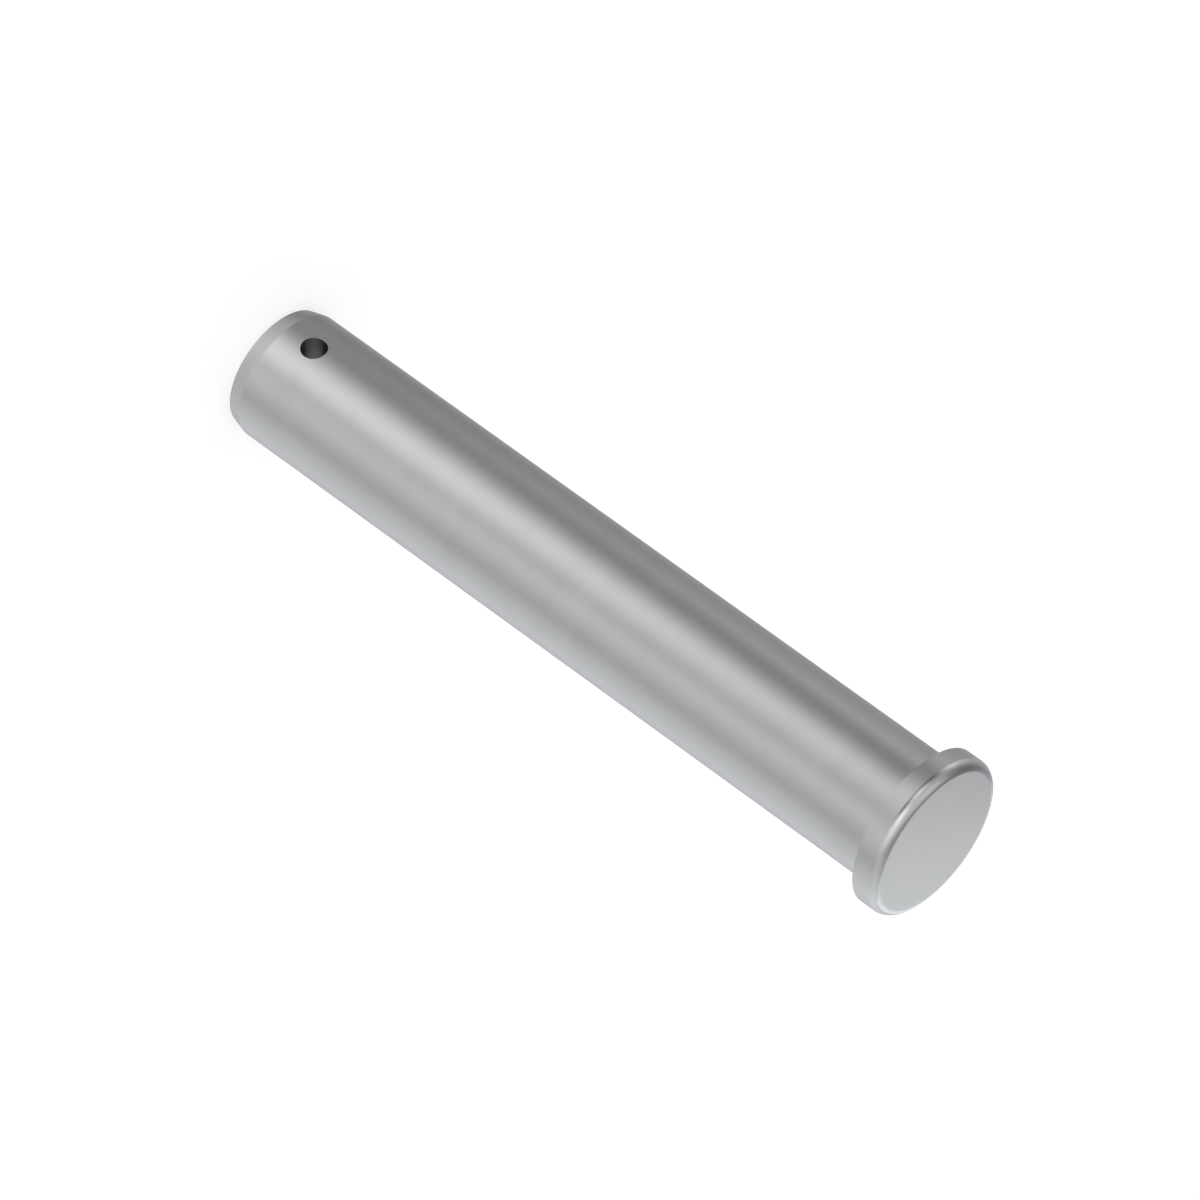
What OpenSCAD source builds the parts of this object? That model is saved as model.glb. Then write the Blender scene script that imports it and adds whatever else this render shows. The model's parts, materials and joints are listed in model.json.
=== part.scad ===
// Headed clevis pin for the rod end of a steering cylinder.
// It is turned from one bar: a plain round shank with a shallow lead-in at its end, a cross hole
// for a split pin, and a thin flat head with a rounded rim.
// The pin stands on its plain end with the head up, as it hangs in its clevis, and Z is its axis.
// All sizes are in millimetres.

/* [Shank] */
// Diameter of the shank, a 25 mm bar turned to a running fit
shank_d = 24.94; // [20:0.01:26]
// Length of the shank from its plain end to the underside of the head
shank_l = 150; // [60:0.5:250]

/* [Lead-in] */
// Length of the tapered lead-in at the plain end, along the axis
lead_l = 3; // [1:0.1:5]
// Angle between the lead-in and the axis, in degrees
lead_angle = 15; // [5:1:45]

/* [Head] */
// Diameter of the head
head_d = 31; // [28.5:0.1:40]
// Thickness of the head
head_t = 4.9; // [3.5:0.1:8]
// Radius of the rounded rim on the top of the head
rim_r = 1.8; // [0.4:0.1:3]
// Radius of the fillet where the shank runs into the underside of the head
neck_r = 0.5; // [0.2:0.1:1]

/* [Split pin hole] */
// Diameter of the cross hole
hole_d = 4.9; // [2:0.1:6.5]
// Distance from the plain end to the axis of the cross hole
hole_from_end = 9.5; // [8.5:0.1:30]

/* [Hidden] */

$fn = 128;
steel = [0.70, 0.71, 0.71];
cut_past = 1; // how far a cutter runs out of the solid on each side

shank_r = shank_d / 2;
head_r = head_d / 2;
end_r = shank_r - lead_l * tan(lead_angle);

// Half section of the shank: the flat end, the lead-in, and the straight wall up to the head.
module shank_section() {
    polygon([
        [0, 0],
        [end_r, 0],
        [shank_r, lead_l],
        [shank_r, shank_l],
        [0, shank_l]
    ]);
}

// Half section of the head: square below, with one round corner at the top.
module head_section() {
    translate([0, shank_l]) {
        square([head_r, head_t - rim_r]);
        square([head_r - rim_r, head_t]);
        translate([head_r - rim_r, head_t - rim_r]) circle(rim_r);
    }
}

// Half section of the neck fillet: a square block of metal in the corner under the head,
// hollowed by the tool's nose radius.
module neck_section() {
    difference() {
        translate([shank_r - neck_r, shank_l - neck_r]) square([2 * neck_r, neck_r]);
        translate([shank_r + neck_r, shank_l - neck_r]) circle(neck_r);
    }
}

// Everything that comes off the lathe.
module turned_blank() {
    rotate_extrude() {
        shank_section();
        head_section();
        neck_section();
    }
}

// The drill that makes the cross hole, right through the shank from front to back.
module cross_drill() {
    translate([0, 0, hole_from_end])
        rotate([90, 0, 0])
            cylinder(h = shank_d + 2 * cut_past, d = hole_d, center = true);
}

module pin() {
    color(steel)
        difference() {
            turned_blank();
            cross_drill();
        }
}

pin();
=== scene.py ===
"""Steering cylinder pin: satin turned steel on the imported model, standing in a plain white studio."""
import json
import math

import bpy
from mathutils import Matrix, Vector


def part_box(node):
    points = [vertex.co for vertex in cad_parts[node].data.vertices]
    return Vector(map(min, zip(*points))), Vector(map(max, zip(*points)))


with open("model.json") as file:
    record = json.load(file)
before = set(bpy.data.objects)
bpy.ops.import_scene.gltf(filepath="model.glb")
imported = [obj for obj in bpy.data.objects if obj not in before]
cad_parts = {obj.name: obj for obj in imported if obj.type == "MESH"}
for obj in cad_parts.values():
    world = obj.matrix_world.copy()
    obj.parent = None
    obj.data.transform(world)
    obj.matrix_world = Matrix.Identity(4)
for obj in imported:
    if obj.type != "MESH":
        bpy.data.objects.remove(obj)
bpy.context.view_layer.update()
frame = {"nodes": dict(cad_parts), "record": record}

MM = 0.001

# Camera: where the photograph was taken from, as angles about the middle of the pin. A program
# fitted the angles, the distance and the focal length to the pin's edges in the photograph.
VIEW_AZIMUTH = 31.66    # degrees round the pin from -Y, towards +X
VIEW_ELEVATION = 26.26  # degrees above the floor
VIEW_ROLL = 125.71      # degrees that the picture is turned, so that the head lies low on the right
VIEW_DISTANCE = 1.715   # metres
FOCAL_PIXELS = 10019    # focal length in pixels of the photograph
PHOTO_PIXELS = 1200
SENSOR_MM = 36
FRAME_SHIFT = (0.0002, -0.0002)     # a quarter of a pixel, which centres the pin as in the photograph
NEAREST, FARTHEST = 0.1, 100        # metres from the camera between which things show

# Floor and light
WHITE = 1.0             # strength at which the studio is as white as the picture can be
FLOOR_SIZE = 12.0
FLOOR_COLOUR = 0.80     # a pale matt grey, which still takes the pin's shadow
FLOOR_GLOW = 0.51       # added to the floor for the camera, so that it ends up as white as the backdrop
FILL = 0.62             # strength of the even light that falls on the floor from all round

# Soft lamps: azimuth and elevation as for the camera, distance, width and height in metres,
# radiance, where the white of the studio is 1, and roll in degrees
KEY = (30, 33, 1.30, 0.45, 0.80, 0.80, 0)
HEAD_CARD = (201, 17, 0.34, 0.165, 0.30, 0.70, 42)

# Soft panels of the studio that the steel mirrors: azimuth and elevation as for the camera,
# half width and half height in degrees, and how much lighter or darker than white it is.
# All but key_spill come from programs that fitted the light to the brightness of the steel in the
# photograph. Their results were rounded, and six rows were changed a little after that.
PANELS = {
    "key_glow": (60, 40, 20, 35, 0.5),
    "key_spill": (46, 22, 14, 16, 0.3),
    "low_reflector": (8, -38, 35, 13, 1.4),
    "low_flag": (40, -25, 15, 10, -0.65),
    "left_front_flag": (-26, -10, 30, 35, -0.96),
    "near_flag": (20, -5, 12, 15, -0.8),
    "front_reflector": (-7, 11, 15, 14, 1.2),
    "left_reflector": (-60, -5, 15, 15, 0.8),
    "left_low_flag": (-75, -35, 30, 10, -0.65),
    "back_left_flag": (250, 40, 65, 40, -0.75),
    "right_flag": (100, -10, 15, 55, -0.25),
    "right_glow": (165, 5, 30, 60, 0.35),
    "top_flag": (150, 70, 60, 15, -0.4),
    "left_high_reflector": (-85, 65, 35, 12, 0.55),
    "back_low_flag": (220, -40, 60, 50, -0.5),
}
COOL_WALL = (205, -8, 65, 50)       # the far side of the studio is a little bluish
NEUTRAL = (1.0, 1.0, 1.0)
COOL = (1.01, 1.0, 1.10)
PANEL_DEPTH = 0.5       # how soon a panel fades out on the far side of the studio
DARKEST = 0.02          # the studio is nowhere darker than this, where white is 1

# Steel
STEEL = (0.432, 0.446, 0.441)
TONE = 0.05             # how far the steel's brightness wanders from place to place
STEEL_ROUGHNESS = 0.24
DRILLED = (0.60, 0.61, 0.615)
DRILLED_TONE = 0.12
DRILLED_ROUGHNESS = 0.30
ROUGHNESS_SPREAD = 0.04
MARK_DEPTH = 0.0024 * MM
HOLE_EDGE = 0.01 * MM   # keeps the whole wall of the hole inside its own finish

# Marks in the steel: size of the coarsest grain, how many finer ones lie in it, and their weight
RINGS = (0.45 * MM, 3.0, 0.6)       # the fine rings that the lathe leaves
PASSES = (5 * MM, 1.0, 0.5)         # wider bands, where the feed or the tool's edge changed a little
MOTTLE = (7 * MM, 2.0, 0.5)
DRILL_RINGS = (0.5 * MM, 3.0, 0.6)
MOTTLE_SHARE = 0.6      # of the change in tone; the passes have the rest
RING_SHARE = 0.5        # of the change in roughness; the tone has the rest

# Turned outline, in the same sizes as the solid
HEAD_THICKNESS = 4.9 * MM
RIM_RADIUS = 1.8 * MM
NECK_RADIUS = 0.5 * MM
LEAD_IN_LENGTH = 3.0 * MM
LEAD_IN_ANGLE = 15              # degrees between the lead-in and the axis
FACE_MARGIN = 0.001 * MM        # keeps a flat face clear of the side that it meets

# Where a Mix node has its two inputs and its result, for each kind of value
MIX_PLACES = {"FLOAT": (2, 3, 0), "VECTOR": (4, 5, 1), "RGBA": (6, 7, 2)}


def direction(azimuth, elevation):
    """Unit vector from the pin towards an azimuth and elevation in degrees, azimuth 0 being -Y."""
    a, e = math.radians(azimuth), math.radians(elevation)
    return Vector((math.sin(a) * math.cos(e), -math.cos(a) * math.cos(e), math.sin(e)))


def shade(colour, gain=1.0):
    """An opaque colour, made lighter or darker by the gain."""
    return tuple(part * gain for part in colour) + (1,)


def empty_tree(owner):
    """The node tree of a new world or material, with nothing in it."""
    owner.use_nodes = True
    owner.node_tree.nodes.clear()
    return owner.node_tree


def node(tree, kind, inputs=(), **settings):
    """A shader node with its settings, and its inputs given as values or as other nodes' outputs."""
    made = tree.nodes.new(kind)
    for name, value in settings.items():
        setattr(made, name, value)
    for name, value in dict(inputs).items():
        if isinstance(value, bpy.types.NodeSocket):
            tree.links.new(value, made.inputs[name])
        else:
            made.inputs[name].default_value = value
    return made


def maths(tree, operation, *values):
    """The output of a Math node."""
    return node(tree, "ShaderNodeMath", enumerate(values), operation=operation).outputs[0]


def vector_maths(tree, operation, *values, **inputs):
    """The output of a Vector Math node."""
    sources = {**dict(enumerate(values)), **inputs}
    return node(tree, "ShaderNodeVectorMath", sources, operation=operation).outputs["Vector"]


def mix(tree, factor, low, high, kind="FLOAT"):
    """Low where the factor is 0 and high where it is 1, as numbers, vectors or colours."""
    first, second, result = MIX_PLACES[kind]
    inputs = {0: factor, first: low, second: high}
    return node(tree, "ShaderNodeMix", inputs, data_type=kind).outputs[result]


def average(tree, first, share, second):
    """A mean of two values, in which the first one has the given share."""
    rest = maths(tree, "MULTIPLY", second, 1 - share)
    return maths(tree, "MULTIPLY_ADD", first, share, rest)


def distance(tree, x, y):
    """How far a point is from the origin of its plane."""
    squares = [maths(tree, "POWER", side, 2.0) for side in (x, y)]
    return maths(tree, "SQRT", maths(tree, "ADD", *squares))


def noise(tree, coordinate, size, detail, roughness):
    """Noise along a line or in space, between 0 and 1 with a mean of 0.5."""
    grain = {"Scale": 1 / size, "Detail": detail, "Roughness": roughness}
    if coordinate.type == "VECTOR":
        return node(tree, "ShaderNodeTexNoise", {"Vector": coordinate, **grain}).outputs[0]
    inputs = {"W": coordinate, **grain}
    return node(tree, "ShaderNodeTexNoise", inputs, noise_dimensions="1D").outputs[0]


def around(tree, factor, middle, spread):
    """A value that runs from below its middle to above it as the factor goes from 0 to 1."""
    ends = {"Value": factor, "To Min": middle - spread, "To Max": middle + spread}
    return node(tree, "ShaderNodeMapRange", ends).outputs[0]


def toned(tree, factor, colour, tone):
    """A colour that runs from darker to lighter as the factor goes from 0 to 1."""
    return mix(tree, factor, shade(colour, 1 - tone), shade(colour, 1 + tone), "RGBA")


def add_camera(target):
    """The camera of the photograph, rolled about its line of sight."""
    data = bpy.data.cameras.new("camera")
    data.sensor_width = SENSOR_MM
    data.lens = FOCAL_PIXELS / PHOTO_PIXELS * SENSOR_MM
    data.shift_x, data.shift_y = FRAME_SHIFT
    data.clip_start, data.clip_end = NEAREST, FARTHEST
    camera = bpy.data.objects.new("camera", data)
    back = direction(VIEW_AZIMUTH, VIEW_ELEVATION)
    level = (-back).to_track_quat("-Z", "Y").to_matrix()
    turned = level @ Matrix.Rotation(math.radians(VIEW_ROLL), 3, "Z")
    camera.matrix_world = Matrix.Translation(target + back * VIEW_DISTANCE) @ turned.to_4x4()
    bpy.context.scene.collection.objects.link(camera)
    bpy.context.scene.camera = camera


def ray_kinds(tree):
    """Two outputs: 1 for rays from the camera, and 1 for mirrored and refracted rays."""
    path = node(tree, "ShaderNodeLightPath").outputs
    mirrored = maths(tree, "MAXIMUM", path["Is Glossy Ray"], path["Is Transmission Ray"])
    return path["Is Camera Ray"], mirrored


def fade_from(tree, ray, azimuth, elevation, half_width, half_height):
    """1 in the middle of an ellipse on the sky, fading smoothly to 0 around it."""
    toward = direction(azimuth, elevation)
    turn = toward.to_track_quat("Z", "Y").to_euler()
    size = (math.sin(math.radians(half_width)), math.sin(math.radians(half_height)), PANEL_DEPTH)
    place = {"Vector": ray, "Location": toward, "Rotation": turn, "Scale": size}
    local = node(tree, "ShaderNodeMapping", place, vector_type="TEXTURE").outputs[0]
    apart = node(tree, "ShaderNodeVectorMath", {0: local, 1: local}, operation="DOT_PRODUCT")
    return maths(tree, "POWER", math.exp(-1), apart.outputs["Value"])


def add_world():
    """An even white studio. The steel also mirrors its soft reflectors and flags."""
    world = bpy.data.worlds.new("studio")
    bpy.context.scene.world = world
    tree = empty_tree(world)
    ray = node(tree, "ShaderNodeTexCoord").outputs["Generated"]
    studio = WHITE
    for *place, strength in PANELS.values():
        studio = maths(tree, "MULTIPLY_ADD", fade_from(tree, ray, *place), strength, studio)
    studio = maths(tree, "MAXIMUM", studio, DARKEST)
    from_camera, mirrored = ray_kinds(tree)
    strength = mix(tree, from_camera, mix(tree, mirrored, FILL, studio), WHITE)
    tint = maths(tree, "MULTIPLY", fade_from(tree, ray, *COOL_WALL), mirrored)
    colour = mix(tree, tint, shade(NEUTRAL), shade(COOL), "RGBA")
    light = node(tree, "ShaderNodeBackground", {"Color": colour, "Strength": strength})
    node(tree, "ShaderNodeOutputWorld", {"Surface": light.outputs[0]})


def add_floor():
    """A plain pale floor that keeps the pin's shadow. The steel mirrors the studio in its place."""
    half = FLOOR_SIZE / 2
    corners = [(-half, -half, 0), (half, -half, 0), (half, half, 0), (-half, half, 0)]
    mesh = bpy.data.meshes.new("floor")
    mesh.from_pydata(corners, [], [(0, 1, 2, 3)])
    floor = bpy.data.objects.new("floor", mesh)
    bpy.context.scene.collection.objects.link(floor)
    floor.visible_glossy = False
    material = bpy.data.materials.new("floor")
    tree = empty_tree(material)
    matt = node(tree, "ShaderNodeBsdfDiffuse", {"Color": shade(NEUTRAL, FLOOR_COLOUR)})
    shown = maths(tree, "MAXIMUM", *ray_kinds(tree))
    glow = node(tree, "ShaderNodeEmission", {"Strength": maths(tree, "MULTIPLY", shown, FLOOR_GLOW)})
    both = node(tree, "ShaderNodeAddShader", {0: matt.outputs[0], 1: glow.outputs[0]})
    node(tree, "ShaderNodeOutputMaterial", {"Surface": both.outputs[0]})
    mesh.materials.append(material)


def add_lamp(name, target, azimuth, elevation, distance_away, width, height, radiance, roll):
    """A soft rectangular lamp that faces the target."""
    data = bpy.data.lights.new(name, "AREA")
    data.shape = "RECTANGLE"
    data.size, data.size_y = width, height
    data.energy = radiance * math.pi * width * height
    lamp = bpy.data.objects.new(name, data)
    toward = direction(azimuth, elevation)
    facing = toward.to_track_quat("Z", "Y").to_matrix().to_4x4()
    turn = facing @ Matrix.Rotation(math.radians(roll), 4, "Z")
    lamp.matrix_world = Matrix.Translation(target + toward * distance_away) @ turn
    lamp.visible_camera = False
    bpy.context.scene.collection.objects.link(lamp)


def corner_normal(tree, outward, radius, z, corner_radius, corner_z, sign):
    """Normal of a side and an end with a round corner between them, about the given centre.

    The sign is 1 where the corner sticks out, and -1 where it is hollow.
    """
    past_radius = maths(tree, "MULTIPLY", maths(tree, "SUBTRACT", radius, corner_radius), sign)
    past_z = maths(tree, "MAXIMUM", maths(tree, "SUBTRACT", z, corner_z), 0.0)
    across = vector_maths(tree, "SCALE", outward, Scale=maths(tree, "MAXIMUM", past_radius, 0.0))
    along = node(tree, "ShaderNodeCombineXYZ", {"Z": maths(tree, "MULTIPLY", past_z, sign)}).outputs[0]
    return vector_maths(tree, "NORMALIZE", vector_maths(tree, "ADD", across, along))


def turned_normal(tree, place, radius, drilled, shank_radius, head_radius, top):
    """Exact normal of the turned outline, so that reflections run evenly along and round the pin."""
    x, y, z = place
    level = node(tree, "ShaderNodeCombineXYZ", {"X": x, "Y": y}).outputs[0]
    outward = vector_maths(tree, "NORMALIZE", level)
    underside = top - HEAD_THICKNESS
    neck_centre = (shank_radius + NECK_RADIUS, underside - NECK_RADIUS)
    rim_centre = (head_radius - RIM_RADIUS, top - RIM_RADIUS)
    neck = corner_normal(tree, outward, radius, z, *neck_centre, -1)
    rim = corner_normal(tree, outward, radius, z, *rim_centre, 1)
    slope = math.radians(LEAD_IN_ANGLE)
    sideways = vector_maths(tree, "SCALE", outward, Scale=math.cos(slope))
    lead_in = vector_maths(tree, "ADD", sideways, (0.0, 0.0, -math.sin(slope)))

    exact = mix(tree, maths(tree, "GREATER_THAN", z, underside + FACE_MARGIN), neck, rim, "VECTOR")
    exact = mix(tree, maths(tree, "LESS_THAN", z, LEAD_IN_LENGTH), exact, lead_in, "VECTOR")
    exact = node(tree, "ShaderNodeVectorTransform", {"Vector": exact}, vector_type="NORMAL",
                 convert_from="OBJECT", convert_to="WORLD").outputs[0]

    # The plain end and the wall of the hole keep the normals of the mesh
    own = node(tree, "ShaderNodeNewGeometry").outputs["Normal"]
    keeps_own = maths(tree, "MAXIMUM", drilled, maths(tree, "LESS_THAN", z, FACE_MARGIN))
    return mix(tree, keeps_own, exact, own, "VECTOR")


def steel(hole_radius, hole_z, shank_radius, head_radius, top):
    """Satin turned steel with lathe rings all round, and a duller wall in the drilled hole."""
    material = bpy.data.materials.new("turned_steel")
    tree = empty_tree(material)
    place = node(tree, "ShaderNodeTexCoord").outputs["Object"]
    x, y, z = node(tree, "ShaderNodeSeparateXYZ", {"Vector": place}).outputs

    # The turning tool follows the outline, so its rings lie along the shank and across the faces
    radius = distance(tree, x, y)
    feed = maths(tree, "SUBTRACT", z, radius)
    rings = noise(tree, feed, *RINGS)
    passes = noise(tree, feed, *PASSES)
    mottle = noise(tree, place, *MOTTLE)

    # Inside the wall of the hole the rings run round the drill instead
    from_drill = distance(tree, x, maths(tree, "SUBTRACT", z, hole_z))
    drilled = maths(tree, "LESS_THAN", from_drill, hole_radius + HOLE_EDGE)
    drill_rings = noise(tree, y, *DRILL_RINGS)

    tone = average(tree, mottle, MOTTLE_SHARE, passes)
    turned_colour = toned(tree, tone, STEEL, TONE)
    drilled_colour = toned(tree, drill_rings, DRILLED, DRILLED_TONE)
    colour = mix(tree, drilled, turned_colour, drilled_colour, "RGBA")

    satin = average(tree, rings, RING_SHARE, tone)
    turned_rough = around(tree, satin, STEEL_ROUGHNESS, ROUGHNESS_SPREAD)
    drilled_rough = around(tree, drill_rings, DRILLED_ROUGHNESS, ROUGHNESS_SPREAD)
    rough = mix(tree, drilled, turned_rough, drilled_rough)

    height = mix(tree, drilled, rings, drill_rings)
    exact = turned_normal(tree, (x, y, z), radius, drilled, shank_radius, head_radius, top)
    depth = {"Strength": 1.0, "Distance": MARK_DEPTH, "Height": height, "Normal": exact}
    marks = node(tree, "ShaderNodeBump", depth).outputs[0]

    finish = {"Base Color": colour, "Metallic": 1.0, "Roughness": rough, "Normal": marks}
    surface = node(tree, "ShaderNodeBsdfPrincipled", finish)
    node(tree, "ShaderNodeOutputMaterial", {"Surface": surface.outputs[0]})
    return material


def main():
    """Puts the finished pin into its studio."""
    bpy.context.scene.view_settings.view_transform = "Standard"
    low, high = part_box("pin")
    middle = Vector((0, 0, (low.z + high.z) / 2))
    mounts = {mount["name"]: mount for mount in frame["record"]["mounts"]}

    add_camera(middle)
    add_world()
    add_floor()
    add_lamp("key", middle, *KEY)
    add_lamp("head_card", Vector((0, 0, high.z)), *HEAD_CARD)

    hole = mounts["split_pin_hole"]
    hole_radius, shank_radius = hole["dims"]["r_mm"] * MM, mounts["shank"]["dims"]["r_mm"] * MM
    finish = steel(hole_radius, hole["pos_m"][2], shank_radius, high.x, high.z)
    frame["nodes"]["pin"].material_slots[0].material = finish


main()
